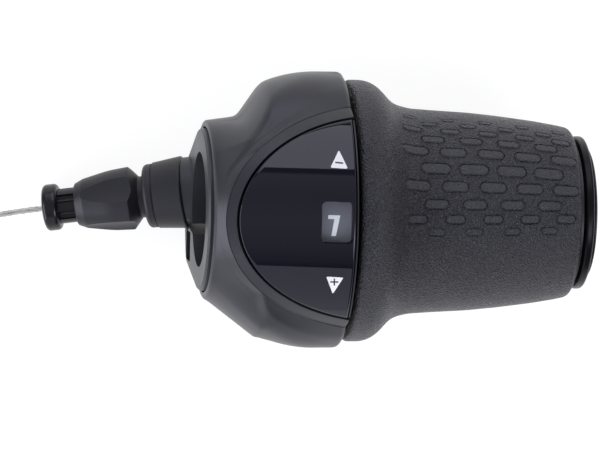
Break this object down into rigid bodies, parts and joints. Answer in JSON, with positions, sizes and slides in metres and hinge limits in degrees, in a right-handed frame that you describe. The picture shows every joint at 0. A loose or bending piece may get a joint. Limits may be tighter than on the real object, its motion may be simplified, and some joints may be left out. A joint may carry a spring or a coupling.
{
  "type": "twist grip shifter",
  "caption": "Bicycle twist grip shifter: a clamp base for a straight handlebar, a turning rubber grip, a round housing with a gear display, and a cable adjuster with its bare wire.",
  "frame": {"origin": "on the handlebar's axis, at the inner end of the clamp", "axes": "+X along the handlebar towards its end, +Z the way the display faces, +Y completes the right-handed frame"},
  "size_m": [0.1505, 0.0534, 0.0564],
  "materials": {
    "housing": "satin",
    "base": "satin",
    "lens": "gloss",
    "rubber": "matte",
    "sleeve": "satin",
    "adjuster": "matte",
    "plug": "gloss",
    "washer": "gloss",
    "numbers": "satin",
    "reel": "satin",
    "steel": "brushed"
  },
  "bodies": {
    "base": {"base_bracket": "base", "clamp_bolt": "steel", "clamp_nut": "steel", "housing_cover": "housing", "cover_screws": "steel", "display_lens": "lens", "index_spring": "steel", "spring_rivet": "steel", "cable_guide": "reel", "thrust_washer": "sleeve", "end_washer": "washer", "retaining_ring": "steel", "adjuster_holder": "adjuster", "inner_wire": "steel", "wire_run": "steel", "wire_coil": "steel"},
    "grip": {"grip_sleeve": "sleeve", "grip_rubber": "rubber", "index_ring": "steel", "cable_reel": "reel", "cable_nipple": "steel", "wound_wire": "steel", "number_ring": "numbers"},
    "plug": {"casing_plug": "plug"},
    "knob": {"adjuster_knob": "adjuster", "adjusting_bolt": "steel"}
  },
  "joints": [
    {"name": "grip_twist", "type": "hinge", "parent": "base", "child": "grip", "pos_m": [0.05, 0, 0], "axis": [1, 0, 0], "range_deg": [-108, 18], "deforming": ["index_spring"]},
    {"name": "adjuster_travel", "type": "slide", "parent": "base", "child": "plug", "axis": [-0.9585, -0.145, -0.2453], "range_m": [-0.0008, 0.0024]},
    {"name": "adjuster_turn", "type": "hinge", "parent": "plug", "child": "knob", "pos_m": [-0.0003, 0.0017, -0.0187], "axis": [-0.9585, -0.145, -0.2453], "range_deg": [-370, 1090]}
  ],
  "couplings": [
    {"joint": "adjuster_turn", "follows": "adjuster_travel", "rad_per_m": 7854}
  ]
}
